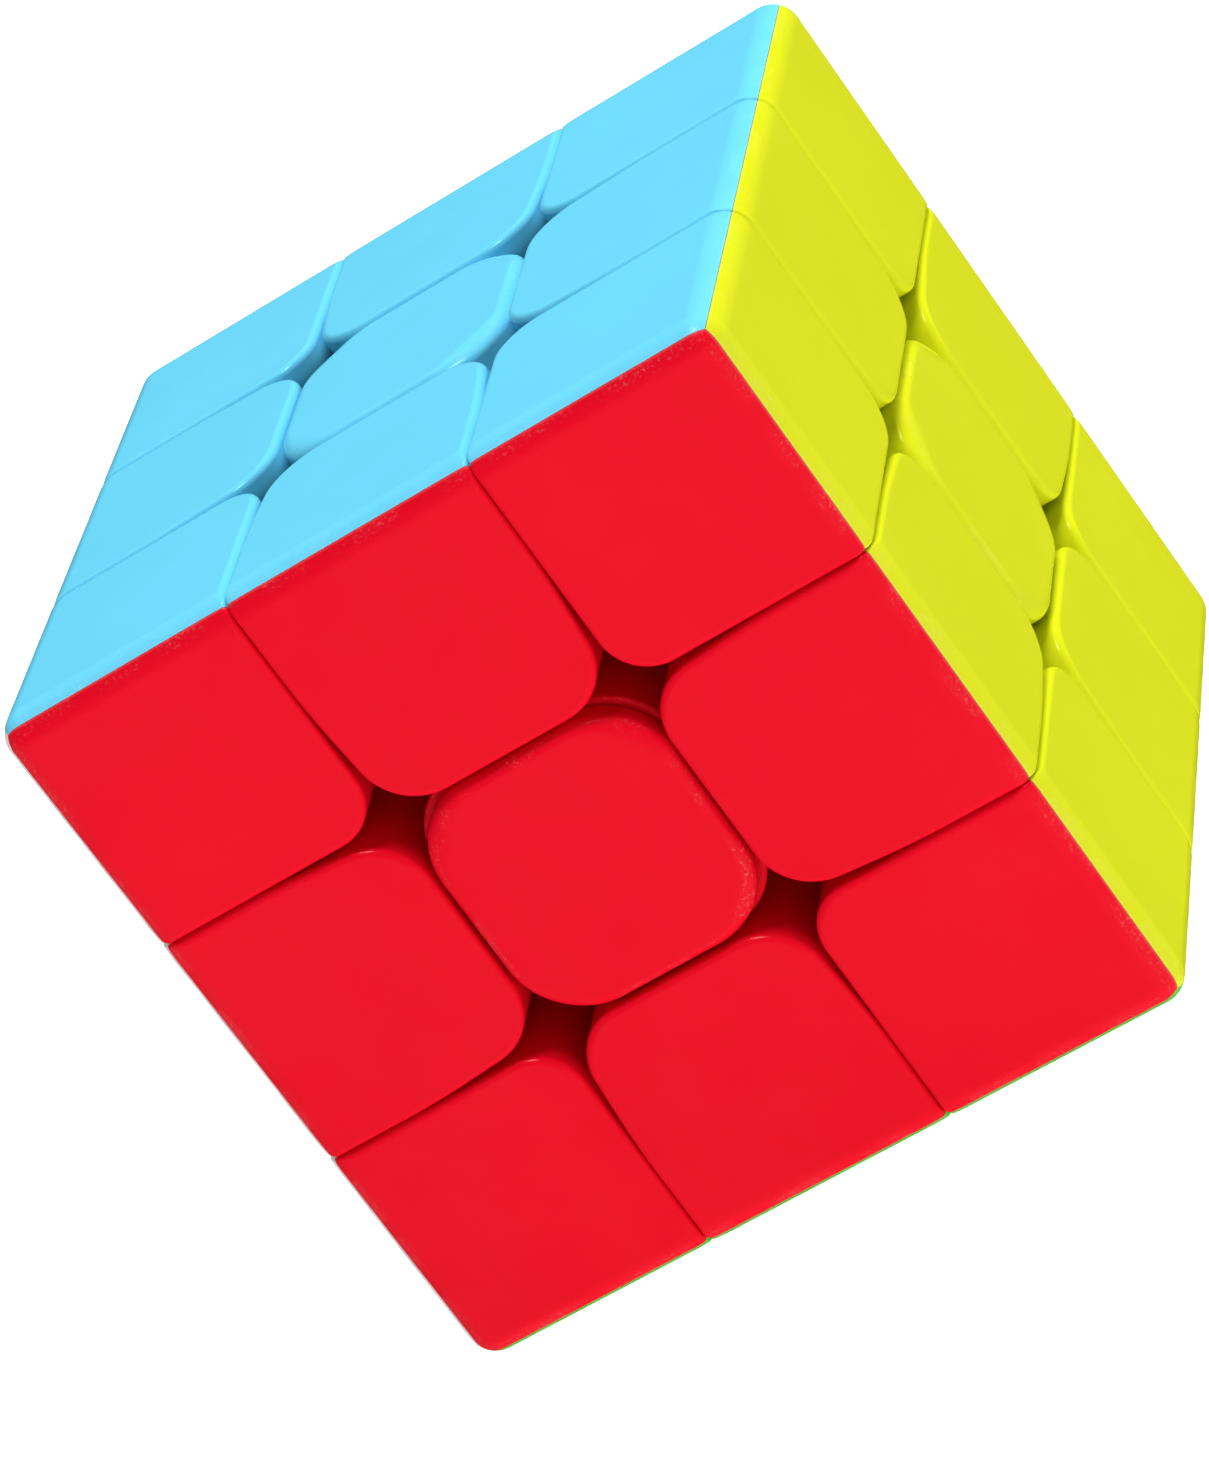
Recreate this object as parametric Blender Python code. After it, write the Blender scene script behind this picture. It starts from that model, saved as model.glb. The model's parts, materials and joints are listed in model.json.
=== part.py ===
"""Stickerless three-layer twisty puzzle cube, built as an assembly of its separate pieces.

A six-armed core sits at the origin. Each arm carries one face centre: a base held down by a
screw through a spring, with a snap-in cap over the screw well. Twelve edges (two clipped
halves each) and eight corners are held by feet that reach under their neighbours.

Every piece obeys one rule, so that each face can turn about its own axis through the core.
A point is in a face's layer when its height along that face's axis is over LAYER_HEIGHT
outside the sphere CAPTURE_RADIUS, or over FOOT_HEIGHT between that sphere and the sphere
CAVITY_RADIUS. A corner lies in three layers, an edge in two and a centre in one.

Metres, +Z up, origin where the six turning axes cross. Up is +Z, front is -Y, right is +X.
"""

import itertools
import math

import bmesh
import bpy
from mathutils import Matrix, Vector

MM = 0.001

# Driving dimensions
CUBE_SIDE = 56.0 * MM
LAYER_HEIGHT = 9.4 * MM
FOOT_HEIGHT = 5.5 * MM
CAPTURE_RADIUS = 21.0 * MM
CAVITY_RADIUS = 15.0 * MM
PIECE_GAP = 0.3 * MM
FOOT_GAP = 0.4 * MM
SPHERE_GAP = 0.7 * MM
SEAM_GAP = 0.2 * MM
WALL = 1.4 * MM
NECK_STEP = 0.4 * MM

# Roundings of the pieces
CUBE_EDGE_RADIUS = 2.1 * MM
SIDE_RADIUS = 1.2 * MM
INNER_CORNER_RADIUS = 3.3 * MM
EDGE_INNER_RADIUS = 3.8 * MM
CENTRE_CORNER_RADIUS = 4.5 * MM

# Centre, from the core outwards along its axis
CENTRE_FLOOR = 9.5 * MM
WELL_FLOOR = 11.0 * MM
WASHER_LEVEL = 17.1 * MM
SCREW_HEAD_LEVEL = 17.7 * MM
SCREW_TOP = 19.6 * MM
BASE_TOP = 25.5 * MM
STALK_RADIUS = 4.9 * MM
WELL_RADIUS = 3.6 * MM
SCREW_BORE_RADIUS = 1.7 * MM
PEG_OFFSET = 6.0 * MM
PEG_WIDTH = 1.6 * MM
PEG_CLEARANCE = 0.4 * MM
PEG_TIP_LEVEL = 22.6 * MM
SOCKET_FLOOR = 22.0 * MM
CAP_BEVEL_HEIGHT = 1.3 * MM
CAP_RIM_RADIUS = 0.35 * MM
CAP_CORNER_CUT = 5.0 * MM
CAP_RIM_BULGE = 0.3
CAP_TOP_BULGE = 0.2

# Core, screw and spring
HUB_RADIUS = 6.5 * MM
ARM_RADIUS = 3.2 * MM
ARM_TOP = 9.2 * MM
SCREW_HOLE_RADIUS = 1.35 * MM
SCREW_HOLE_FLOOR = 2.6 * MM
SCREW_RADIUS = 1.2 * MM
SCREW_TIP = 3.0 * MM
SCREW_TIP_RADIUS = 0.7 * MM
SCREW_HEAD_RADIUS = 2.6 * MM
WASHER_RADIUS = 3.1 * MM
DRIVE_LENGTH = 3.2 * MM
DRIVE_WIDTH = 0.8 * MM
DRIVE_DEPTH = 1.2 * MM
SPRING_RADIUS = 2.5 * MM
SPRING_WIRE_RADIUS = 0.3 * MM
SPRING_TURNS = 3.5
SPRING_END_GAP = 0.7 * MM
CORNER_BORE_RADIUS = 1.3 * MM

HALF_SIDE = CUBE_SIDE / 2
LAYER_START = LAYER_HEIGHT + PIECE_GAP / 2
LAYER_END = LAYER_HEIGHT - PIECE_GAP / 2
FOOT_START = FOOT_HEIGHT + FOOT_GAP / 2
FOOT_END = FOOT_HEIGHT - FOOT_GAP / 2
NECK_END = FOOT_END - NECK_STEP
CAPTURE_INSIDE = CAPTURE_RADIUS - SPHERE_GAP / 2
CAPTURE_OUTSIDE = CAPTURE_RADIUS + SPHERE_GAP / 2
CAVITY_OUTSIDE = CAVITY_RADIUS + SPHERE_GAP / 2
HOLLOW_RADIUS = CAPTURE_OUTSIDE + 2 * WALL

# Fineness of the facets
ARC_STEPS = 4
SMALL_ARC_STEPS = 2
WELL_SEGMENTS = 20
ARM_SEGMENTS = 16
BORE_SEGMENTS = 12
SPRING_WIRE_SIDES = 4
SPRING_STEPS_PER_TURN = 9
FINE_BALL = 3
COARSE_BALL = 2
BALL_TWIST = math.radians(17)
TOOL_REACH = 60.0 * MM

FACES = {
    "up": Vector((0, 0, 1)),
    "down": Vector((0, 0, -1)),
    "front": Vector((0, -1, 0)),
    "back": Vector((0, 1, 0)),
    "right": Vector((1, 0, 0)),
    "left": Vector((-1, 0, 0)),
}

# Colour as 8-bit sRGB, roughness, metallic
FINISHES = {
    "up": ((112, 217, 250), 0.35, 0.0),
    "down": ((92, 206, 62), 0.35, 0.0),
    "front": ((238, 13, 38), 0.35, 0.0),
    "back": ((255, 132, 26), 0.35, 0.0),
    "right": ((222, 228, 29), 0.35, 0.0),
    "left": ((244, 244, 242), 0.35, 0.0),
    "inner": ((62, 66, 72), 0.5, 0.0),
    "screw": ((176, 178, 182), 0.3, 1.0),
    "spring": ((196, 198, 202), 0.28, 1.0),
}


def linear(channel):
    """Turn an 8-bit sRGB channel into its linear value."""
    value = channel / 255
    if value <= 0.04045:
        return value / 12.92
    return ((value + 0.055) / 1.055) ** 2.4


def finish(name):
    """Make the material of one piece from its entry in FINISHES."""
    colour, roughness, metallic = FINISHES[name]
    material = bpy.data.materials.new(name)
    material.use_nodes = True
    shader = material.node_tree.nodes["Principled BSDF"]
    shader.inputs["Base Color"].default_value = [linear(channel) for channel in colour] + [1.0]
    shader.inputs["Roughness"].default_value = roughness
    shader.inputs["Metallic"].default_value = metallic
    return material


def mesh_from(vertices, faces):
    """Build a closed mesh from its corners and faces, with its faces pointing out."""
    shape = bmesh.new()
    corners = [shape.verts.new(vertex) for vertex in vertices]
    for face in faces:
        shape.faces.new([corners[index] for index in face])
    bmesh.ops.recalc_face_normals(shape, faces=shape.faces)
    mesh = bpy.data.meshes.new("shape")
    shape.to_mesh(mesh)
    shape.free()
    return mesh


def box(low, high):
    """Build a box between two opposite corners."""
    vertices = list(itertools.product(*zip(low, high)))
    faces = [(0, 1, 3, 2), (4, 6, 7, 5), (0, 4, 5, 1), (2, 3, 7, 6), (0, 2, 6, 4), (1, 5, 7, 3)]
    return mesh_from(vertices, faces)


def ball(radius, fineness):
    """Build a faceted ball around the origin, twisted so that no facet lines up with a flat."""
    shape = bmesh.new()
    twist = Matrix.Rotation(BALL_TWIST, 4, Vector((1, 2, 3)).normalized())
    bmesh.ops.create_icosphere(shape, subdivisions=fineness, radius=radius, matrix=twist)
    mesh = bpy.data.meshes.new("ball")
    shape.to_mesh(mesh)
    shape.free()
    return mesh


def rings_mesh(rings):
    """Join closed rings of equal point counts into a tube with flat ends."""
    count = len(rings[0])
    vertices = [point for ring in rings for point in ring]
    faces = []
    for level in range(len(rings) - 1):
        for index in range(count):
            following = (index + 1) % count
            lower = level * count
            upper = lower + count
            faces.append((lower + index, lower + following, upper + following, upper + index))
    faces.append(tuple(range(count)))
    faces.append(tuple(range(len(vertices) - count, len(vertices))))
    return mesh_from(vertices, faces)


def turned(profile, segments):
    """Turn a profile of (radius, height) points around Z, with a flat face at each end."""
    angles = [2 * math.pi * index / segments for index in range(segments)]
    rings = []
    for radius, height in profile:
        rings.append([(radius * math.cos(a), radius * math.sin(a), height) for a in angles])
    return rings_mesh(rings)


def rounded_corner(corner, inward, radius, steps):
    """Points of one rounded corner of an outline, whose inward signs lead into the shape."""
    if radius <= 0:
        return [corner]
    centre = (corner[0] + inward[0] * radius, corner[1] + inward[1] * radius)
    outward_angle = math.atan2(-inward[1], -inward[0])
    points = []
    for step in range(steps + 1):
        angle = outward_angle - math.pi / 4 + math.pi / 2 * step / steps
        points.append((centre[0] + radius * math.cos(angle), centre[1] + radius * math.sin(angle)))
    return points


def rounded_rectangle(low, high, radii):
    """Outline of a rectangle; radii are those of its low-low, high-low, high-high, low-high corners."""
    corners = [(low[0], low[1]), (high[0], low[1]), (high[0], high[1]), (low[0], high[1])]
    signs = [(1, 1), (-1, 1), (-1, -1), (1, -1)]
    outline = []
    for corner, inward, radius in zip(corners, signs, radii):
        steps = ARC_STEPS if radius > 2 * MM else SMALL_ARC_STEPS
        outline.extend(rounded_corner(corner, inward, radius, steps))
    return outline


def prism(outline, axis, low, high):
    """Stretch an outline along one axis; it lies in the other two axes, in cyclic order."""
    first, second = (axis + 1) % 3, (axis + 2) % 3
    rings = []
    for level in (low, high):
        ring = []
        for u, v in outline:
            point = [0.0, 0.0, 0.0]
            point[first], point[second], point[axis] = u, v, level
            ring.append(tuple(point))
        rings.append(ring)
    return rings_mesh(rings)


def combined(first, second, operation):
    """Boolean of two meshes: UNION, DIFFERENCE or INTERSECT."""
    body = bpy.data.objects.new("body", first)
    tool = bpy.data.objects.new("tool", second)
    for item in (body, tool):
        bpy.context.scene.collection.objects.link(item)
    modifier = body.modifiers.new("boolean", "BOOLEAN")
    modifier.operation = operation
    modifier.object = tool
    depsgraph = bpy.context.evaluated_depsgraph_get()
    result = bpy.data.meshes.new_from_object(body.evaluated_get(depsgraph))
    bpy.data.objects.remove(body)
    bpy.data.objects.remove(tool)
    return result


def joined(first, *others):
    """Union of several meshes."""
    for other in others:
        first = combined(first, other, "UNION")
    return first


def common(first, *others):
    """Intersection of several meshes."""
    for other in others:
        first = combined(first, other, "INTERSECT")
    return first


def cut(first, *tools):
    """First mesh with each tool cut away."""
    for tool in tools:
        first = combined(first, tool, "DIFFERENCE")
    return first


def turned_mesh(mesh, rotation):
    """Copy of a mesh turned about the origin."""
    copy = mesh.copy()
    copy.transform(rotation.to_4x4())
    return copy


def tidied(mesh):
    """Merge the flat neighbouring faces that the booleans left."""
    shape = bmesh.new()
    shape.from_mesh(mesh)
    bmesh.ops.dissolve_limit(
        shape, angle_limit=math.radians(0.5), verts=shape.verts, edges=shape.edges)
    bmesh.ops.triangulate(shape, faces=shape.faces)
    shape.to_mesh(mesh)
    shape.free()
    mesh.shade_smooth()
    mesh.set_sharp_from_angle(angle=math.radians(30))
    return mesh


def corner_block(inset):
    """Outer block of the corner between +X, +Y and +Z, shrunk by inset on every side."""
    low = LAYER_START + inset
    high = HALF_SIDE - inset
    radii = [INNER_CORNER_RADIUS, SIDE_RADIUS, CUBE_EDGE_RADIUS, SIDE_RADIUS]
    outline = rounded_rectangle((low, low), (high, high), [radius - inset for radius in radii])
    return common(*[prism(outline, axis, low, high) for axis in range(3)])


def corner_mesh():
    """Corner between +X, +Y and +Z: hollow block, with a foot that reaches under its neighbours."""
    foot = box([FOOT_START] * 3, [CAPTURE_RADIUS] * 3)
    foot = common(foot, ball(CAPTURE_INSIDE, FINE_BALL))
    foot = cut(foot, ball(CAVITY_OUTSIDE, COARSE_BALL))
    bore = turned([(CORNER_BORE_RADIUS, 0), (CORNER_BORE_RADIUS, HALF_SIDE)], BORE_SEGMENTS)
    diagonal = Vector((0, 0, 1)).rotation_difference(Vector((1, 1, 1)).normalized())
    bore = turned_mesh(bore, diagonal.to_matrix())
    return tidied(cut(joined(corner_block(0), foot), joined(corner_block(WALL), bore)))


def edge_block(inset):
    """Outer block of the edge between +X and +Z, both halves, shrunk by inset on every side."""
    low = LAYER_START + inset
    high = HALF_SIDE - inset
    side = LAYER_END - inset
    inner = EDGE_INNER_RADIUS - inset
    outer = SIDE_RADIUS - inset
    along_x = rounded_rectangle((-side, low), (side, high), [inner, inner, outer, outer])
    along_y = rounded_rectangle((low, low), (high, high), [0, outer, CUBE_EDGE_RADIUS - inset, outer])
    along_z = rounded_rectangle((low, -side), (high, side), [inner, outer, outer, inner])
    return common(
        prism(along_x, 0, low, high),
        prism(along_y, 1, -side, side),
        prism(along_z, 2, low, high))


def edge_half_mesh():
    """Half of the edge between +Z and +X that shows on +Z, hollow and open at the seam."""
    block = edge_block(0)
    for start, end in ((-TOOL_REACH, -NECK_END), (NECK_END, TOOL_REACH)):
        side = box((-TOOL_REACH, start, -TOOL_REACH), (TOOL_REACH, end, TOOL_REACH))
        block = cut(block, common(ball(CAPTURE_OUTSIDE, FINE_BALL), side))
    foot = box((FOOT_START, -FOOT_END, FOOT_START), (CAPTURE_RADIUS, FOOT_END, CAPTURE_RADIUS))
    foot = common(foot, ball(CAPTURE_INSIDE, FINE_BALL))
    whole = cut(joined(block, foot), ball(CAVITY_OUTSIDE, COARSE_BALL))
    hollow = cut(edge_block(WALL), ball(HOLLOW_RADIUS, COARSE_BALL))
    seam_side = box((-TOOL_REACH, -TOOL_REACH, SEAM_GAP / 2), (TOOL_REACH, TOOL_REACH, TOOL_REACH))
    seam_side = turned_mesh(seam_side, Matrix.Rotation(math.radians(-45), 3, "Y"))
    return tidied(common(cut(whole, hollow), seam_side))


def centre_outline(half_width, radius):
    """Rounded square of a face centre."""
    return rounded_rectangle((-half_width, -half_width), (half_width, half_width), [radius] * 4)


def peg_boxes(half_width, low, high):
    """Four square posts, one near each corner of a face centre."""
    posts = []
    for x, y in itertools.product((-PEG_OFFSET, PEG_OFFSET), repeat=2):
        posts.append(box((x - half_width, y - half_width, low), (x + half_width, y + half_width, high)))
    return posts


def centre_base_mesh():
    """Base of the +Z centre: a stalk that rides on the core arm, and a well for screw and spring."""
    outline = centre_outline(LAYER_END, CENTRE_CORNER_RADIUS)
    block = cut(prism(outline, 2, FOOT_HEIGHT, BASE_TOP), ball(CAPTURE_OUTSIDE, FINE_BALL))
    stalk_top = CAPTURE_OUTSIDE + WALL
    stalk = turned([(STALK_RADIUS, CENTRE_FLOOR), (STALK_RADIUS, stalk_top)], WELL_SEGMENTS)
    well = turned([(WELL_RADIUS, WELL_FLOOR), (WELL_RADIUS, HALF_SIDE)], WELL_SEGMENTS)
    bore = turned([(SCREW_BORE_RADIUS, 0), (SCREW_BORE_RADIUS, HALF_SIDE)], BORE_SEGMENTS)
    sockets = peg_boxes(PEG_WIDTH / 2 + PEG_CLEARANCE, SOCKET_FLOOR, HALF_SIDE)
    return tidied(cut(joined(block, stalk), well, bore, *sockets))


def cap_ring(inset, corner_cut, bulge, level):
    """Square ring with cut corners: bulge 0 keeps each cut straight, 1 makes it a round corner."""
    half_width = LAYER_END - inset
    ring = []
    for inward in ((-1, -1), (1, -1), (1, 1), (-1, 1)):
        corner = (-inward[0] * half_width, -inward[1] * half_width)
        arc = rounded_corner(corner, inward, corner_cut, ARC_STEPS)
        start, end = arc[0], arc[-1]
        for step, point in enumerate(arc):
            share = step / ARC_STEPS
            straight = [start[axis] + (end[axis] - start[axis]) * share for axis in range(2)]
            blend = [straight[axis] + (point[axis] - straight[axis]) * bulge for axis in range(2)]
            ring.append((blend[0], blend[1], level))
    return ring


def centre_cap_mesh():
    """Snap-in cap of the +Z centre: a plate with broad sloping corners and four pegs."""
    plate = rings_mesh([
        cap_ring(0, CENTRE_CORNER_RADIUS, 1, BASE_TOP + PIECE_GAP),
        cap_ring(0, CENTRE_CORNER_RADIUS, 1, HALF_SIDE - CAP_BEVEL_HEIGHT),
        cap_ring(0, CAP_CORNER_CUT, CAP_RIM_BULGE, HALF_SIDE - CAP_RIM_RADIUS),
        cap_ring(CAP_RIM_RADIUS, CAP_CORNER_CUT, CAP_TOP_BULGE, HALF_SIDE),
    ])
    return tidied(joined(plate, *peg_boxes(PEG_WIDTH / 2, PEG_TIP_LEVEL, BASE_TOP + WALL)))


def screw_mesh():
    """Tension screw along +Z with its washer under the head and a cross drive."""
    body = turned([
        (SCREW_TIP_RADIUS, SCREW_TIP),
        (SCREW_RADIUS, SCREW_TIP + SCREW_RADIUS),
        (SCREW_RADIUS, WASHER_LEVEL),
        (WASHER_RADIUS, WASHER_LEVEL),
        (WASHER_RADIUS, SCREW_HEAD_LEVEL),
        (SCREW_HEAD_RADIUS, SCREW_HEAD_LEVEL),
        (SCREW_HEAD_RADIUS, SCREW_TOP),
    ], BORE_SEGMENTS)
    length, width, low = DRIVE_LENGTH / 2, DRIVE_WIDTH / 2, SCREW_TOP - DRIVE_DEPTH
    slots = joined(
        box((-length, -width, low), (length, width, HALF_SIDE)),
        box((-width, -length, low), (width, length, HALF_SIDE)))
    return tidied(cut(body, slots))


def spring_mesh():
    """Compression spring around the screw, between the centre's floor and the washer."""
    low = WELL_FLOOR + SPRING_END_GAP + SPRING_WIRE_RADIUS
    high = WASHER_LEVEL - PIECE_GAP - SPRING_WIRE_RADIUS
    steps = round(SPRING_TURNS * SPRING_STEPS_PER_TURN)
    rings = []
    for step in range(steps + 1):
        turn = 2 * math.pi * step / SPRING_STEPS_PER_TURN
        level = low + (high - low) * step / steps
        ring = []
        for side in range(SPRING_WIRE_SIDES):
            angle = 2 * math.pi * side / SPRING_WIRE_SIDES
            radius = SPRING_RADIUS + SPRING_WIRE_RADIUS * math.cos(angle)
            height = level + SPRING_WIRE_RADIUS * math.sin(angle)
            ring.append((radius * math.cos(turn), radius * math.sin(turn), height))
        rings.append(ring)
    return tidied(rings_mesh(rings))


def core_mesh():
    """Hub with six arms, each with a hole for its screw."""
    shape = ball(HUB_RADIUS, COARSE_BALL)
    for face in FACES:
        arm = turned([(ARM_RADIUS, 0), (ARM_RADIUS, ARM_TOP)], ARM_SEGMENTS)
        shape = joined(shape, turned_mesh(arm, facing(face)))
    for face in FACES:
        hole = turned(
            [(SCREW_HOLE_RADIUS, SCREW_HOLE_FLOOR), (SCREW_HOLE_RADIUS, HALF_SIDE)], BORE_SEGMENTS)
        shape = cut(shape, turned_mesh(hole, facing(face)))
    return tidied(shape)


def orientation(top, side):
    """Rotation that takes +Z to top and +X to side, two perpendicular face directions."""
    return Matrix((side, top.cross(side), top)).transposed()


def facing(face):
    """Rotation that takes +Z to a face."""
    top = FACES[face]
    side = next(direction for direction in FACES.values() if direction.dot(top) == 0)
    return orientation(top, side)


def place(name, mesh, rotation, finish_name):
    """Add one piece, with its origin where the turning axes cross."""
    piece = bpy.data.objects.new(name, mesh)
    bpy.context.scene.collection.objects.link(piece)
    piece.rotation_euler = rotation.to_euler()
    if not mesh.materials:
        mesh.materials.append(None)
    piece.material_slots[0].link = "OBJECT"
    piece.material_slots[0].material = finish(finish_name)
    return piece


def add_centres():
    """Six centres: base, cap, screw and spring on each arm."""
    base, cap, screw, spring = centre_base_mesh(), centre_cap_mesh(), screw_mesh(), spring_mesh()
    for face in FACES:
        rotation = facing(face)
        place(f"centre_base_{face}", base, rotation, face)
        place(f"centre_cap_{face}", cap, rotation, face)
        place(f"screw_{face}", screw, rotation, "screw")
        place(f"spring_{face}", spring, rotation, "spring")


def add_edges():
    """Twelve edges, each of two halves named after the face that they show on."""
    half = edge_half_mesh()
    for first, second in itertools.combinations(FACES, 2):
        if FACES[first].dot(FACES[second]) != 0:
            continue
        for own, other in ((first, second), (second, first)):
            rotation = orientation(FACES[own], FACES[other])
            place(f"edge_{first}_{second}_half_{own}", half, rotation, own)


def add_corners():
    """Eight corners, each three clipped shells of three colours, joined here into one piece."""
    corner = corner_mesh()
    for faces in itertools.product(("up", "down"), ("front", "back"), ("right", "left")):
        top, depth, width = [FACES[face] for face in faces]
        side = width if top.cross(width) == depth else depth
        place("corner_" + "_".join(faces), corner, orientation(top, side), faces[0])


def main():
    for item in list(bpy.data.objects):
        bpy.data.objects.remove(item)
    place("core", core_mesh(), facing("up"), "inner")
    add_centres()
    add_edges()
    add_corners()


main()
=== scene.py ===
"""Looks of the three-layer twisty puzzle cube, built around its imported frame.

Everything is in the row frame, in metres: the turning axes cross at the origin, up is +Z, front
is -Y and right is +X. Each piece is modelled once, as it sits on the up face, and its copies are
turned to the other faces. The coloured shells of the edges and corners, the caps, the bases, the
screws, their washers, the springs and the core stand for the CAD solids of the same pieces.
"""

import itertools
import json
import math

import bmesh
import bpy
from mathutils import Matrix, Vector


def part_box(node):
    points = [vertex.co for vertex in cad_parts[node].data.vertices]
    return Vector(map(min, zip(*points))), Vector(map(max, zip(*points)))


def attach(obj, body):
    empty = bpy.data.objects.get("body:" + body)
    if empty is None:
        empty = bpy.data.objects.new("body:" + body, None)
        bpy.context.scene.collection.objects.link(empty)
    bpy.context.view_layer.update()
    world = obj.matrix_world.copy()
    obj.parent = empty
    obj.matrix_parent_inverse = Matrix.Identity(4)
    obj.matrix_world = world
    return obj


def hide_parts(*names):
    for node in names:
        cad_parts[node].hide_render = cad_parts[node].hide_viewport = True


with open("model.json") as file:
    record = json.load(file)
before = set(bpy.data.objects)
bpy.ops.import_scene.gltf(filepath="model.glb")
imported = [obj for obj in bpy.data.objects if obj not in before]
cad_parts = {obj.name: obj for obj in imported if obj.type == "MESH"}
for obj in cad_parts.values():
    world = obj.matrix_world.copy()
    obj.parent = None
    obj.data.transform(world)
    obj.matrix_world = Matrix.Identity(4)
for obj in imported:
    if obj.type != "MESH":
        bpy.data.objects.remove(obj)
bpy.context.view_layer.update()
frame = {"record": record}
MM = 0.001

FACES = {
    "up": Vector((0, 0, 1)),
    "down": Vector((0, 0, -1)),
    "front": Vector((0, -1, 0)),
    "back": Vector((0, 1, 0)),
    "right": Vector((1, 0, 0)),
    "left": Vector((-1, 0, 0)),
}

# Places that the frame gives
CAP_LOW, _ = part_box("centre_cap_up")
BASE_LOW, BASE_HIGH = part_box("centre_base_up")
_, EDGE_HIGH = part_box("edge_up_right_half_up")
CORNER_LOW, CORNER_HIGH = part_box("corner_up_back_right")
SCREW_LOW, SCREW_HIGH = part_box("screw_up")
SPRING_LOW, SPRING_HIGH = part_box("spring_up")
_, CORE_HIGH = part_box("core")

HALF_SIDE = CORNER_HIGH.z
FOOT_START = CORNER_LOW.z

# Clearances and walls; the CAD leaves PIECE_GAP between layers, and here they stand closer
PIECE_GAP = 0.3 * MM
SHOWN_GAP = 0.05 * MM
FOOT_GAP = 0.4 * MM
NECK_STEP = 0.4 * MM
SEAM_GAP = 0.03 * MM
WALL = 1.4 * MM
CAPTURE_RADIUS = 21.0 * MM
CAVITY_RADIUS = 15.0 * MM
SPHERE_GAP = 0.7 * MM

LAYER_HEIGHT = EDGE_HIGH.y + PIECE_GAP / 2
LAYER_END = LAYER_HEIGHT - SHOWN_GAP / 2
LAYER_START = LAYER_HEIGHT + SHOWN_GAP / 2
FOOT_END = FOOT_START - FOOT_GAP
NECK_END = FOOT_END - NECK_STEP
CAPTURE_INSIDE = CAPTURE_RADIUS - SPHERE_GAP / 2
CAPTURE_OUTSIDE = CAPTURE_RADIUS + SPHERE_GAP / 2
CAVITY_OUTSIDE = CAVITY_RADIUS + SPHERE_GAP / 2

# Roundings of the coloured shells
CUBE_EDGE_RADIUS = 2.1 * MM
RIM_RADIUS = 0.55 * MM
SIDE_RADIUS = 1.2 * MM
CORNER_INNER_RADIUS = 3.5 * MM
EDGE_INNER_RADIUS = 4.2 * MM
EDGE_TAPER = 0.8 * MM
EDGE_WAIST_RADIUS = 60.0 * MM
SMALLEST_RADIUS = 0.1 * MM

# Centre cap and base
CAP_RADIUS = 5.6 * MM
CAP_TOP_CUT = 6.0 * MM
CAP_TOP_RADIUS = 2.4 * MM
CAP_SIDE_GAP = 0.2 * MM
CAP_BEVEL_HEIGHT = 1.0 * MM
CAP_RIM_WIDTH = 0.9 * MM
BASE_RADIUS = 4.9 * MM
BASE_RIM_RADIUS = 0.3 * MM
PEG_OFFSET = 6.0 * MM
PEG_WIDTH = 1.6 * MM
PEG_CLEARANCE = 0.4 * MM
SOCKET_FLOOR = 22.0 * MM
STALK_RADIUS = 4.9 * MM
WELL_RADIUS = 3.6 * MM
WELL_FLOOR = 11.0 * MM
WELL_CHAMFER = 0.4 * MM
BORE_RADIUS = 1.7 * MM

# Screw, washer and spring
THREAD_RADIUS = 1.2 * MM
THREAD_DEPTH = 0.22 * MM
THREAD_PITCH = 0.8 * MM
THREAD_LENGTH = 8.0 * MM
THREAD_STEPS = 12
TIP_SHARE = 0.55
HEAD_RADIUS = 2.6 * MM
HEAD_HEIGHT = 1.9 * MM
HEAD_ROUNDING = 0.35 * MM
WASHER_RADIUS = 3.1 * MM
WASHER_THICKNESS = 0.6 * MM
WASHER_ROUNDING = 0.12 * MM
WASHER_CLEARANCE = 0.05 * MM
DRIVE_LENGTH = 3.2 * MM
DRIVE_WIDTH = 0.8 * MM
DRIVE_DEPTH = 1.2 * MM
SPRING_RADIUS = 2.5 * MM
WIRE_RADIUS = 0.3 * MM
SPRING_TURNS = 5.5
SPRING_CLOSED_TURNS = 1.0
WIRE_SIDES = 14
WIRE_STEPS = 40

# Core
HUB_RADIUS = 6.5 * MM
ARM_RADIUS = 3.2 * MM
ARM_CHAMFER = 0.35 * MM
SCREW_HOLE_RADIUS = 1.35 * MM
SCREW_HOLE_FLOOR = 2.6 * MM

# Fineness
ARC_STEPS = 10
RIM_STEPS = 8
CAP_STEPS = 14
ROUND_SEGMENTS = 64
BALL_FINENESS = 4
BALL_TWIST = math.radians(17)
SHARP_ANGLE = math.radians(35)
MERGE_DISTANCE = 0.002 * MM
REACH = 60.0 * MM


def mesh_from(vertices, faces):
    """Build a closed mesh from its corners and faces, with its faces pointing out."""
    shape = bmesh.new()
    corners = [shape.verts.new(vertex) for vertex in vertices]
    for face in faces:
        shape.faces.new([corners[index] for index in face])
    bmesh.ops.remove_doubles(shape, verts=shape.verts, dist=MERGE_DISTANCE)
    bmesh.ops.recalc_face_normals(shape, faces=shape.faces)
    mesh = bpy.data.meshes.new("shape")
    shape.to_mesh(mesh)
    shape.free()
    return mesh


def box(low, high):
    """Build a box between two opposite corners."""
    vertices = list(itertools.product(*zip(low, high)))
    faces = [(0, 1, 3, 2), (4, 6, 7, 5), (0, 4, 5, 1), (2, 3, 7, 6), (0, 2, 6, 4), (1, 5, 7, 3)]
    return mesh_from(vertices, faces)


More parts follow.
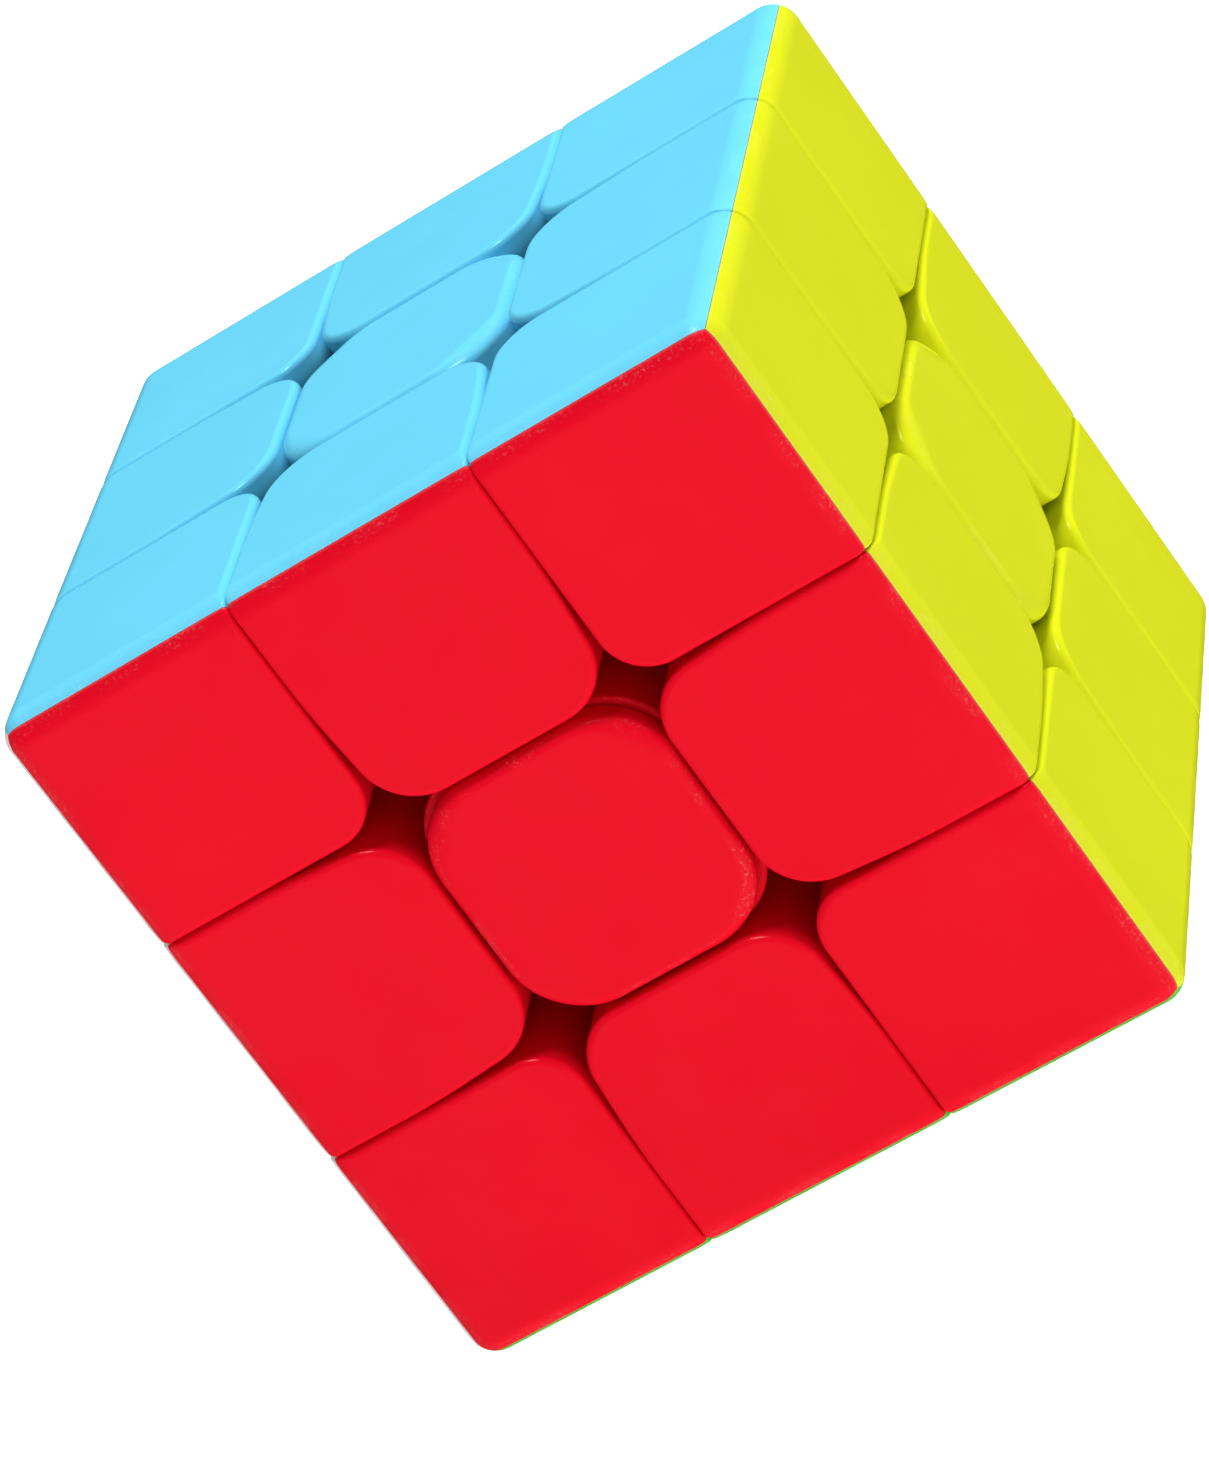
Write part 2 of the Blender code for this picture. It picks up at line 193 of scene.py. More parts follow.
def ball(radius):
    """Build a ball around the origin, twisted so that no facet lines up with a flat."""
    shape = bmesh.new()
    twist = Matrix.Rotation(BALL_TWIST, 4, Vector((1, 2, 3)).normalized())
    bmesh.ops.create_icosphere(shape, subdivisions=BALL_FINENESS, radius=radius, matrix=twist)
    mesh = bpy.data.meshes.new("ball")
    shape.to_mesh(mesh)
    shape.free()
    return mesh


def loft(rings):
    """Join closed rings of equal point counts into a solid with flat ends."""
    count = len(rings[0])
    vertices = [point for ring in rings for point in ring]
    faces = []
    for level in range(len(rings) - 1):
        for index in range(count):
            following = (index + 1) % count
            lower = level * count
            upper = lower + count
            faces.append((lower + index, lower + following, upper + following, upper + index))
    faces.append(tuple(range(count)))
    faces.append(tuple(range(len(vertices) - count, len(vertices))))
    return mesh_from(vertices, faces)


def turned(profile, segments=ROUND_SEGMENTS):
    """Turn a profile of (radius, height) points around Z, with a flat face at each end."""
    angles = [2 * math.pi * index / segments for index in range(segments)]
    return loft([[(r * math.cos(a), r * math.sin(a), h) for a in angles] for r, h in profile])


def quarter_round(radius, height, rounding):
    """Points of a turned profile that round off its top rim, going from its side to its end."""
    points = []
    for step in range(RIM_STEPS + 1):
        angle = math.pi / 2 * step / RIM_STEPS
        reach = radius - rounding * (1 - math.cos(angle))
        points.append((reach, height - rounding * (1 - math.sin(angle))))
    return points


def ring(corners, insets, levels):
    """Closed ring through rounded corners of (x, y, radius), in counter-clockwise order.

    Side number i, from corner i to the next one, is moved in by insets[i] and lies at levels[i].
    """
    count = len(corners)
    places = [Vector(corner[:2]) for corner in corners]
    inward = []
    for index in range(count):
        along = (places[(index + 1) % count] - places[index]).normalized()
        inward.append(Vector((-along.y, along.x)))
    moved = []
    for index in range(count):
        sides = Matrix((inward[index - 1], inward[index]))
        moved.append(places[index] + sides.inverted() @ Vector((insets[index - 1], insets[index])))
    points = []
    for index in range(count):
        back = (moved[index - 1] - moved[index]).normalized()
        ahead = (moved[(index + 1) % count] - moved[index]).normalized()
        half = back.angle(ahead) / 2
        radius = corners[index][2] - min(insets[index - 1], insets[index])
        radius = max(radius, SMALLEST_RADIUS)
        centre = moved[index] + (back + ahead).normalized() * radius / math.sin(half)
        spoke = moved[index] + back * radius / math.tan(half) - centre
        for step in range(ARC_STEPS + 1):
            share = step / ARC_STEPS
            turn = (math.pi - 2 * half) * share
            x = centre.x + spoke.x * math.cos(turn) - spoke.y * math.sin(turn)
            y = centre.y + spoke.x * math.sin(turn) + spoke.y * math.cos(turn)
            blend = share * share * (3 - 2 * share)
            level = levels[index - 1] + (levels[index] - levels[index - 1]) * blend
            points.append((x, y, level))
    return points


def rimmed_block(corners, radii, low, high):
    """Block over an outline, its top rim rounded along side number i by radii[i]."""
    count = len(corners)
    rings = [ring(corners, [0] * count, [low] * count)]
    for step in range(RIM_STEPS + 1):
        angle = math.pi / 2 * step / RIM_STEPS
        insets = [radius * (1 - math.cos(angle)) for radius in radii]
        levels = [high - radius * (1 - math.sin(angle)) for radius in radii]
        rings.append(ring(corners, insets, levels))
    return loft(rings)


def plain_block(corners, inset, low, high):
    """Block over an outline that is moved in by inset on every side."""
    count = len(corners)
    return loft([ring(corners, [inset] * count, [level] * count) for level in (low, high)])


def combined(first, second, operation):
    """Boolean of two meshes: UNION, DIFFERENCE or INTERSECT."""
    body = bpy.data.objects.new("body", first)
    tool = bpy.data.objects.new("tool", second)
    for item in (body, tool):
        bpy.context.scene.collection.objects.link(item)
    modifier = body.modifiers.new("boolean", "BOOLEAN")
    modifier.operation = operation
    modifier.object = tool
    depsgraph = bpy.context.evaluated_depsgraph_get()
    result = bpy.data.meshes.new_from_object(body.evaluated_get(depsgraph))
    bpy.data.objects.remove(body)
    bpy.data.objects.remove(tool)
    return result


def joined(first, *others):
    """Union of several meshes."""
    for other in others:
        first = combined(first, other, "UNION")
    return first


def common(first, *others):
    """Intersection of several meshes."""
    for other in others:
        first = combined(first, other, "INTERSECT")
    return first


def cut(first, *tools):
    """First mesh with each tool cut away."""
    for tool in tools:
        first = combined(first, tool, "DIFFERENCE")
    return first


def turned_mesh(mesh, rotation):
    """Copy of a mesh turned about the origin."""
    copy = mesh.copy()
    copy.transform(rotation.to_4x4())
    return copy


def finished(mesh):
    """Shade a mesh smooth up to its sharp angles, with its flats kept flat up to their rims."""
    mesh.shade_smooth()
    mesh.set_sharp_from_angle(angle=SHARP_ANGLE)
    item = bpy.data.objects.new("item", mesh)
    bpy.context.scene.collection.objects.link(item)
    modifier = item.modifiers.new("flats", "WEIGHTED_NORMAL")
    modifier.keep_sharp = True
    depsgraph = bpy.context.evaluated_depsgraph_get()
    result = bpy.data.meshes.new_from_object(item.evaluated_get(depsgraph))
    bpy.data.objects.remove(item)
    return result


def seam_side(axis, angle):
    """Everything on the up face's side of a seam, whose plane leans by angle about an axis."""
    half_space = box((-REACH, -REACH, SEAM_GAP / 2), (REACH, REACH, REACH))
    return turned_mesh(half_space, Matrix.Rotation(math.radians(angle), 3, axis))


def corner_shell():
    """Up-coloured shell of the corner at right and back, with its third of the foot."""
    corners = [
        (LAYER_START, LAYER_START, CORNER_INNER_RADIUS),
        (HALF_SIDE, LAYER_START, SIDE_RADIUS),
        (HALF_SIDE, HALF_SIDE, CUBE_EDGE_RADIUS),
        (LAYER_START, HALF_SIDE, SIDE_RADIUS),
    ]
    rims = [RIM_RADIUS, CUBE_EDGE_RADIUS, CUBE_EDGE_RADIUS, RIM_RADIUS]
    block = rimmed_block(corners, rims, LAYER_START, HALF_SIDE)
    foot = common(box([FOOT_START] * 3, [CAPTURE_RADIUS] * 3), ball(CAPTURE_INSIDE))
    foot = cut(foot, ball(CAVITY_OUTSIDE))
    hollow = plain_block(corners, WALL, LAYER_START + WALL, HALF_SIDE - WALL)
    whole = cut(joined(block, foot), hollow)
    return finished(common(whole, seam_side("Y", -45), seam_side("X", 45)))


def edge_shell():
    """Up-coloured half of the edge at right, with its half of the foot."""
    inner_y = LAYER_END - EDGE_TAPER
    waist_x = (LAYER_START + HALF_SIDE) / 2
    corners = [
        (LAYER_START, -inner_y, EDGE_INNER_RADIUS),
        (waist_x, -LAYER_END, EDGE_WAIST_RADIUS),
        (HALF_SIDE, -LAYER_END, SIDE_RADIUS),
        (HALF_SIDE, LAYER_END, SIDE_RADIUS),
        (waist_x, LAYER_END, EDGE_WAIST_RADIUS),
        (LAYER_START, inner_y, EDGE_INNER_RADIUS),
    ]
    rims = [RIM_RADIUS, RIM_RADIUS, CUBE_EDGE_RADIUS, RIM_RADIUS, RIM_RADIUS, RIM_RADIUS]
    block = rimmed_block(corners, rims, LAYER_START, HALF_SIDE)
    for start, end in ((-REACH, -NECK_END), (NECK_END, REACH)):
        side = box((-REACH, start, -REACH), (REACH, end, REACH))
        block = cut(block, common(ball(CAPTURE_OUTSIDE), side))
    foot = box((FOOT_START, -FOOT_END, FOOT_START), (CAPTURE_RADIUS, FOOT_END, CAPTURE_RADIUS))
    foot = common(foot, ball(CAPTURE_INSIDE))
    whole = cut(joined(block, foot), ball(CAVITY_OUTSIDE))
    hollow = plain_block(corners, WALL, LAYER_START + WALL, HALF_SIDE - WALL)
    hollow = cut(hollow, ball(CAPTURE_OUTSIDE + 2 * WALL))
    return finished(common(cut(whole, hollow), seam_side("Y", -45)))


def cut_square(corner_cut, radius):
    """Corners of a centre's square with its corners cut off, each of its eight angles rounded."""
    start = LAYER_END - corner_cut
    corners = []
    for quarter in range(4):
        turn = Matrix.Rotation(math.pi / 2 * quarter, 2)
        for place in (Vector((LAYER_END, start)), Vector((start, LAYER_END))):
            place = turn @ place
            corners.append((place.x, place.y, radius))
    return corners


def rounded_square(radius):
    """Corners of a centre's rounded square, written as a square with cut corners."""
    return cut_square(radius * (2 - math.sqrt(2)), radius)


def pegs(half_width, low, high):
    """Four square posts, one near each corner of a face centre."""
    posts = []
    for x, y in itertools.product((-PEG_OFFSET, PEG_OFFSET), repeat=2):
        posts.append(box((x - half_width, y - half_width, low), (x + half_width, y + half_width, high)))
    return posts


def cap_shell():
    """Snap-in cap of the up centre: a plate with a soft rim, broader over its corners, and pegs."""
    low_corners = rounded_square(CAP_RADIUS)
    top_corners = cut_square(CAP_TOP_CUT, CAP_TOP_RADIUS)
    rings = [ring(low_corners, [CAP_SIDE_GAP] * 8, [BASE_HIGH.z + PIECE_GAP] * 8)]
    for step in range(CAP_STEPS + 1):
        angle = math.pi / 2 * step / CAP_STEPS
        share = 1 - math.cos(angle)
        corners = []
        for low, top in zip(low_corners, top_corners):
            corners.append([a + (b - a) * share for a, b in zip(low, top)])
        insets = [CAP_SIDE_GAP, CAP_SIDE_GAP + CAP_RIM_WIDTH * share] * 4
        level = HALF_SIDE - CAP_BEVEL_HEIGHT * (1 - math.sin(angle))
        rings.append(ring(corners, insets, [level] * 8))
    posts = pegs(PEG_WIDTH / 2, CAP_LOW.z, BASE_HIGH.z + WALL)
    return finished(joined(loft(rings), *posts))


def base_shell():
    """Base of the up centre: a stalk that rides on the core arm, with a well for screw and spring."""
    corners = rounded_square(BASE_RADIUS)
    block = rimmed_block(corners, [BASE_RIM_RADIUS] * 8, FOOT_START, BASE_HIGH.z)
    block = cut(block, ball(CAPTURE_OUTSIDE))
    stalk = turned([(STALK_RADIUS, BASE_LOW.z), (STALK_RADIUS, CAPTURE_OUTSIDE + WALL)])
    mouth = BASE_HIGH.z - WELL_CHAMFER
    well = turned([
        (WELL_RADIUS, WELL_FLOOR),
        (WELL_RADIUS, mouth),
        (WELL_RADIUS + WELL_CHAMFER, BASE_HIGH.z),
        (WELL_RADIUS + WELL_CHAMFER, HALF_SIDE),
    ])
    bore = turned([(BORE_RADIUS, 0), (BORE_RADIUS, HALF_SIDE)])
    sockets = pegs(PEG_WIDTH / 2 + PEG_CLEARANCE, SOCKET_FLOOR, HALF_SIDE)
    return finished(cut(joined(block, stalk), well, bore, *sockets))


def threaded_rod(low, high):
    """Rod with a V thread of THREAD_LENGTH from its lower end, which tapers to a point."""
    steps = round((high - low) / THREAD_PITCH * THREAD_STEPS)
    rings = []
    for step in range(steps + 1):
        height = low + (high - low) * step / steps
        taper = min(1, TIP_SHARE + (height - low) / (2 * THREAD_PITCH))
        fade = min(1, max(0, (low + THREAD_LENGTH - height) / THREAD_PITCH))
        points = []
        for index in range(ROUND_SEGMENTS):
            angle = 2 * math.pi * index / ROUND_SEGMENTS
            phase = (height / THREAD_PITCH - angle / (2 * math.pi)) % 1
            groove = THREAD_DEPTH * fade * (1 - abs(2 * phase - 1))
            radius = (THREAD_RADIUS - groove) * taper
            points.append((radius * math.cos(angle), radius * math.sin(angle), height))
        rings.append(points)
    return loft(rings)


def screw_body():
    """Tension screw of the up centre: threaded rod and round head with a cross drive."""
    low, high = SCREW_HIGH.z - HEAD_HEIGHT, SCREW_HIGH.z
    rod = threaded_rod(SCREW_LOW.z, low + 2 * HEAD_ROUNDING)
    under = [(HEAD_RADIUS - HEAD_ROUNDING / 2, low), (HEAD_RADIUS, low + HEAD_ROUNDING / 2)]
    head = turned(under + quarter_round(HEAD_RADIUS, high, HEAD_ROUNDING))
    length, width = DRIVE_LENGTH / 2, DRIVE_WIDTH / 2
    drive = joined(
        box((-length, -width, high - DRIVE_DEPTH), (length, width, HALF_SIDE)),
        box((-width, -length, high - DRIVE_DEPTH), (width, length, HALF_SIDE)))
    return finished(cut(joined(rod, head), drive))


def washer_ring():
    """Washer under the screw head, with softened rims."""
    high = SCREW_HIGH.z - HEAD_HEIGHT
    low = high - WASHER_THICKNESS
    rim = quarter_round(WASHER_RADIUS, high, WASHER_ROUNDING)
    low_rim = [(radius, low + high - height) for radius, height in reversed(rim)]
    hole = THREAD_RADIUS + WASHER_CLEARANCE
    return finished(cut(turned(low_rim + rim), turned([(hole, 0), (hole, HALF_SIDE)])))


def spring_coil():
    """Compression spring of the up centre, with a closed turn at each end."""
    low = SPRING_LOW.z + WIRE_RADIUS
    high = SPRING_HIGH.z - WIRE_RADIUS
    closed_rise = 2 * WIRE_RADIUS * SPRING_CLOSED_TURNS
    open_turns = SPRING_TURNS - 2 * SPRING_CLOSED_TURNS
    rings = []
    for step in range(round(SPRING_TURNS * WIRE_STEPS) + 1):
        turns = step / WIRE_STEPS
        turn = 2 * math.pi * turns
        opened = min(1, max(0, (turns - SPRING_CLOSED_TURNS) / open_turns))
        last = max(0, turns - SPRING_TURNS + SPRING_CLOSED_TURNS)
        closed = min(turns, SPRING_CLOSED_TURNS) + last
        level = low + closed_rise * closed / SPRING_CLOSED_TURNS
        level += (high - low - 2 * closed_rise) * opened
        points = []
        for side in range(WIRE_SIDES):
            angle = 2 * math.pi * side / WIRE_SIDES
            radius = SPRING_RADIUS + WIRE_RADIUS * math.cos(angle)
            height = level + WIRE_RADIUS * math.sin(angle)
            points.append((radius * math.cos(turn), radius * math.sin(turn), height))
        rings.append(points)
    return finished(loft(rings))


def core_body():
    """Hub with six round arms, each chamfered at its tip and bored for its screw."""
    shape = ball(HUB_RADIUS)
    tip = CORE_HIGH.z
    for face in FACES:
        profile = [
            (ARM_RADIUS, 0),
            (ARM_RADIUS, tip - ARM_CHAMFER),
            (ARM_RADIUS - ARM_CHAMFER, tip),
        ]
        shape = joined(shape, turned_mesh(turned(profile), facing(face)))
    for face in FACES:
        hole = turned([(SCREW_HOLE_RADIUS, SCREW_HOLE_FLOOR), (SCREW_HOLE_RADIUS, HALF_SIDE)])
        shape = cut(shape, turned_mesh(hole, facing(face)))
    return finished(shape)


def orientation(top, side):
    """Rotation that takes +Z to top and +X to side, two perpendicular face directions."""
    return Matrix((side, top.cross(side), top)).transposed()


def facing(face):
    """Rotation that takes +Z to a face."""
    top = FACES[face]
    side = next(direction for direction in FACES.values() if direction.dot(top) == 0)
    return orientation(top, side)


def place(name, mesh, rotation, material, body, slot, *nodes):
    """Add one piece that rides on a body and stands for CAD nodes."""
    piece = bpy.data.objects.new(name, mesh)
    bpy.context.scene.collection.objects.link(piece)
    piece.rotation_euler = rotation.to_euler()
    if not mesh.materials:
        mesh.materials.append(None)
    piece.material_slots[0].link = "OBJECT"
    piece.material_slots[0].material = material
    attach(piece, body)
    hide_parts(*nodes)
    return piece


# Looks: which material slot each face's plastic takes its colour from
FACE_SLOTS = {
    "up": "plastic_blue",
    "down": "plastic_green",
    "front": "plastic_red",
    "back": "plastic_orange",
    "right": "plastic_yellow",
    "left": "plastic_white",
}
SLOT_COLOURS = {entry["slot"]: entry["base_color"] for entry in frame["record"]["materials"]}

# Glossy plastic: texture scales in features per metre
MOTTLE_SCALE = 60
HANDLED_SCALE = 200
PATCH_SCALE = 260
GRAIN_SCALE = 4200

# Noise values between which a pattern rises from nothing to full
MOTTLE_RISE = (0.35, 0.65)
HANDLED_RISE = (0.3, 0.75)
PATCH_RISE = (0.42, 0.62)
SPECK_RISE = (0.53, 0.68)

# Shades are factors on a colour, paleness is a share of white, strengths are shares of an effect
MOTTLE_SHADES = (0.985, 1.01)
GLOSS_ROUGHNESS = (0.18, 0.24)
ROUGH_ADDED = 0.2
SPECK_STRENGTH = 0.3
SPECK_PALENESS = 0.25
FROST_STRENGTH = 0.5
FROST_DEPTH = 0.06 * MM
SPECULAR_LEVEL = 0.3
SPECULAR_PALENESS = 0.35

# Rough band and painted highlight line along a seam; painted shade on the flanks that go on down into
# the openings
SEAM_BAND = 1.6 * MM
SEAM_HIGHLIGHT_WIDTH = 0.3 * MM
SEAM_HIGHLIGHT_STRENGTH = 0.35
SEAM_HIGHLIGHT_PALENESS = 0.16
PAINTED_SHADE_START = 0.8 * MM
PAINTED_SHADE_END = 2.2 * MM
# Painted shade: the blue shells' flanks darken deep in the openings, where little light reaches
PAINTED_FLANK_SHADES = {"plastic_blue": 0.35}

# How far a cap's surface faces out where its rough rim starts, and where that rim fades into its side
RIM_LEAN = (0.995, 0.93)
SIDE_LEAN = (0.2, 0.5)

# Core plastic and steels
CORE_MOTTLE_SCALE = 300
CORE_MOTTLE_SHADES = (0.85, 1.2)
CORE_GRAIN_SCALE = 3500
CORE_GRAIN_STRENGTH = 0.25
CORE_GRAIN_DEPTH = 0.04 * MM
CORE_ROUGHNESS = (0.45, 0.6)
SCRATCH_SCALE = 900
SCRATCH_SHADES = (0.8, 1.2)
SCRATCH_STRENGTH = 0.12
SCRATCH_DEPTH = 0.03 * MM
STEEL_ROUGHNESS = (0.22, 0.4)
FINE_RISE = (0.3, 0.7)


def add(tree, kind, inputs, **settings):
    """Add a node; inputs maps its sockets to values, or to the output sockets that feed them."""
    node = tree.nodes.new(kind)
    for name, value in settings.items():
        setattr(node, name, value)
    for name, value in inputs.items():
        if isinstance(value, bpy.types.NodeSocket):
            tree.links.new(value, node.inputs[name])
        else:
            node.inputs[name].default_value = value
    return node


def maths(tree, operation, first, second=0.0):
    """Output of a maths node on two values or sockets."""
    return add(tree, "ShaderNodeMath", {0: first, 1: second}, operation=operation).outputs[0]


def noise(tree, place, scale, detail=2.0, roughness=0.5):
    """Noise value of a texture whose features are about 1 / scale metres."""
    inputs = {"Vector": place, "Scale": scale, "Detail": detail, "Roughness": roughness}
    return add(tree, "ShaderNodeTexNoise", inputs).outputs[0]


def ramp(tree, value, low, high, start=0.0, end=1.0):
    """Smooth step of a value between low and high, from start to end."""
    inputs = {"Value": value, "From Min": low, "From Max": high, "To Min": start, "To Max": end}
    return add(tree, "ShaderNodeMapRange", inputs, interpolation_type="SMOOTHSTEP").outputs[0]


def mixed(tree, share, first, second):
    """Colour between first and second."""
    inputs = {"Factor": share, 6: first, 7: second}
    return add(tree, "ShaderNodeMix", inputs, data_type="RGBA").outputs[2]


def split(tree, vector):
    """The three parts of a vector."""
    return add(tree, "ShaderNodeSeparateXYZ", {"Vector": vector}).outputs


def bumped(tree, height, strength, distance):
    """Normal of a bump."""
    inputs = {"Height": height, "Strength": strength, "Distance": distance}
    return add(tree, "ShaderNodeBump", inputs).outputs[0]


def new_material(name):
    """Empty material with its node tree and its shader."""
    material = bpy.data.materials.new(name)
    material.use_nodes = True
    return material, material.node_tree, material.node_tree.nodes["Principled BSDF"]


def shaded(colour, factor):
    """Colour with its three channels multiplied by a factor."""
    return [min(1.0, channel * factor) for channel in colour[:3]] + [1.0]


def paled(colour, share):
    """Colour moved towards white by a share."""
    return [channel + (1 - channel) * share for channel in colour[:3]] + [1.0]


def cap_rim(tree, normal):
    """Where the rim of a centre's cap is rough, from 0 to 1."""
    lean = split(tree, normal)[2]
    return maths(tree, "MULTIPLY", ramp(tree, lean, *RIM_LEAN), ramp(tree, lean, *SIDE_LEAN))


def shell_edge(tree, place, colour, base, painted_flank_shade):
    """Colour of an edge or corner shell, with a painted highlight along its seam and painted shade down
    its flanks into the openings, and where it is rough along the cube's edges.
    """
    x, y, z = split(tree, place)
    above_seam = maths(tree, "SUBTRACT", z, maths(tree, "MAXIMUM", x, y))
    outside = ramp(tree, z, HALF_SIDE - CUBE_EDGE_RADIUS, HALF_SIDE - CUBE_EDGE_RADIUS / 2)
    rough = maths(tree, "MULTIPLY", ramp(tree, above_seam, SEAM_BAND, SEAM_BAND / 4), outside)
    # Painted highlight: a pale line along the seam, standing in for light caught by the seam's edge
    seam_highlight = maths(tree, "MULTIPLY", ramp(tree, above_seam, SEAM_HIGHLIGHT_WIDTH, SEAM_GAP), outside)
    seam_highlight = maths(tree, "MULTIPLY", seam_highlight, SEAM_HIGHLIGHT_STRENGTH)
    base = mixed(tree, seam_highlight, base, paled(colour, SEAM_HIGHLIGHT_PALENESS))
    # Painted shade: the colour darkens down the flank into the openings, where shade falls
    painted_shade_mask = ramp(tree, z, HALF_SIDE - PAINTED_SHADE_START, HALF_SIDE - PAINTED_SHADE_END)
    return mixed(tree, painted_shade_mask, base, shaded(colour, painted_flank_shade)), rough


def face_plastic(slot, cap):
    """Glossy coloured plastic, grainy and pale where its mould was left rough.

    On a shell that is along the cube's edges, and a painted highlight makes it palest at the seam; on a
    cap it is the rim.
    """
    material, tree, shader = new_material(slot + ("_cap" if cap else "_shell"))
    coordinates = add(tree, "ShaderNodeTexCoord", {})
    place = coordinates.outputs["Object"]
    colour = SLOT_COLOURS[slot]
    darker, lighter = (shaded(colour, shade) for shade in MOTTLE_SHADES)
    base = mixed(tree, ramp(tree, noise(tree, place, MOTTLE_SCALE), *MOTTLE_RISE), darker, lighter)
    if cap:
        rough = cap_rim(tree, coordinates.outputs["Normal"])
    else:
        # Shells take a painted seam highlight and, on blue, painted shade deep in the openings
        base, rough = shell_edge(tree, place, colour, base, PAINTED_FLANK_SHADES.get(slot, 1.0))
    rough = maths(tree, "MULTIPLY", rough, ramp(tree, noise(tree, place, PATCH_SCALE), *PATCH_RISE))
    grain = noise(tree, place, GRAIN_SCALE, 3.0, 0.6)
    specks = maths(tree, "MULTIPLY", ramp(tree, grain, *SPECK_RISE), rough)
    specks = maths(tree, "MULTIPLY", specks, SPECK_STRENGTH)
    base = mixed(tree, specks, base, paled(colour, SPECK_PALENESS))
    handled = ramp(tree, noise(tree, place, HANDLED_SCALE, 3.0), *HANDLED_RISE, *GLOSS_ROUGHNESS)
    gloss = maths(tree, "ADD", handled, maths(tree, "MULTIPLY", rough, ROUGH_ADDED))
    frost = maths(tree, "MULTIPLY", grain, rough)
    tree.links.new(base, shader.inputs["Base Color"])
    tree.links.new(gloss, shader.inputs["Roughness"])
    tree.links.new(bumped(tree, frost, FROST_STRENGTH, FROST_DEPTH), shader.inputs["Normal"])
    shader.inputs["Specular IOR Level"].default_value = SPECULAR_LEVEL
    shader.inputs["Specular Tint"].default_value = paled(colour, SPECULAR_PALENESS)
    return material


def matte_plastic(slot):
    """Dark satin nylon with a fine moulded grain."""
    material, tree, shader = new_material(slot)
    place = add(tree, "ShaderNodeTexCoord", {}).outputs["Object"]
    darker, lighter = (shaded(SLOT_COLOURS[slot], shade) for shade in CORE_MOTTLE_SHADES)
    mottle = ramp(tree, noise(tree, place, CORE_MOTTLE_SCALE, 4.0), *MOTTLE_RISE)
    grain = noise(tree, place, CORE_GRAIN_SCALE, 3.0)
    bump = bumped(tree, grain, CORE_GRAIN_STRENGTH, CORE_GRAIN_DEPTH)
    tree.links.new(mixed(tree, mottle, darker, lighter), shader.inputs["Base Color"])
    tree.links.new(ramp(tree, grain, *FINE_RISE, *CORE_ROUGHNESS), shader.inputs["Roughness"])
    tree.links.new(bump, shader.inputs["Normal"])
    return material


def steel(slot, scratch_stretch):
    """Bright metal with fine scratches around its axis."""
    material, tree, shader = new_material(slot)
    place = add(tree, "ShaderNodeTexCoord", {}).outputs["Object"]
    stretched = add(tree, "ShaderNodeMapping", {"Vector": place, "Scale": (1, 1, scratch_stretch)})
    scratches = noise(tree, stretched.outputs[0], SCRATCH_SCALE, 5.0, 0.7)
    darker, lighter = (shaded(SLOT_COLOURS[slot], shade) for shade in SCRATCH_SHADES)
    base = mixed(tree, ramp(tree, scratches, *FINE_RISE), darker, lighter)
    bump = bumped(tree, scratches, SCRATCH_STRENGTH, SCRATCH_DEPTH)
    tree.links.new(base, shader.inputs["Base Color"])
    tree.links.new(ramp(tree, scratches, *FINE_RISE, *STEEL_ROUGHNESS), shader.inputs["Roughness"])
    tree.links.new(bump, shader.inputs["Normal"])
    shader.inputs["Metallic"].default_value = 1.0
    return material


def add_centres(caps, screw_steel, spring_steel):
    """Six centres: base, cap, screw, washer and spring on each arm."""
    parts = [
        ("base", base_shell(), "centre", caps, "centre_base"),
        ("cap", cap_shell(), "cap", caps, "centre_cap"),
    ]
    metal_parts = [
        ("tension_screw", screw_body(), "screw", screw_steel, "screw_steel"),
        ("washer", washer_ring(), "screw", screw_steel, "screw_steel"),
        ("coil", spring_coil(), "spring", spring_steel, "spring_steel"),
    ]
    for face, slot in FACE_SLOTS.items():
        turn = facing(face)
        for name, mesh, body, plastics, node in parts:
            place(f"{name}_{face}", mesh, turn, plastics[slot], f"{body}_{face}", slot, f"{node}_{face}")
        for name, mesh, body, metal, slot in metal_parts:
            place(f"{name}_{face}", mesh, turn, metal, f"{body}_{face}", slot, f"{body}_{face}")


def add_edges(shells):
    """Twelve edges, each of two shells in the colours of its two faces."""
    shell = edge_shell()
    for first, second in itertools.combinations(FACES, 2):
        if FACES[first].dot(FACES[second]) != 0:
            continue
        body = f"edge_{first}_{second}"
        for own, other in ((first, second), (second, first)):
            turn = orientation(FACES[own], FACES[other])
            slot = FACE_SLOTS[own]
            place(f"{body}_shell_{own}", shell, turn, shells[slot], body, slot, f"{body}_half_{own}")


def add_corners(shells):
    """Eight corners, each of three shells in the colours of its three faces."""
    shell = corner_shell()
    for faces in itertools.product(("up", "down"), ("front", "back"), ("right", "left")):
        body = "corner_" + "_".join(faces)
        for index, own in enumerate(faces):
            one, other = FACES[faces[index - 1]], FACES[faces[index - 2]]
            side = one if FACES[own].cross(one) == other else other
            slot = FACE_SLOTS[own]
            turn = orientation(FACES[own], side)
            place(f"{body}_shell_{own}", shell, turn, shells[slot], body, slot, body)


# Studio
CAMERA_PLACE = Vector((147.49, -391.45, 143.89)) * MM
CAMERA_AZIMUTH = 21.28
CAMERA_ELEVATION = 19.33
CAMERA_ROLL = 36.63
CAMERA_LENS = 158.5
CAMERA_REACH = (0.01, 20.0)
FLOOR_SIDE = 6.0
FLOOR_BASE = (0.5, 0.5, 0.5, 1.0)
FLOOR_ROUGHNESS = 0.9
FLOOR_SPECULAR = 0.1
FLOOR_GLOW = 0.96
WORLD_SEEN = 1.0
WORLD_LIGHTING = 0.12

# Soft lights: name, place and side in metres, power in watts, and whether the gloss mirrors it
SOFTBOXES = [
    ("overhead", (0.22, -0.18, 0.95), 0.25, 5.4, True),
    ("rear", (0.35, 0.55, 0.76), 0.5, 8.6, False),
    ("front", (-0.1, -0.97, -0.1), 0.5, 1.7, False),
]


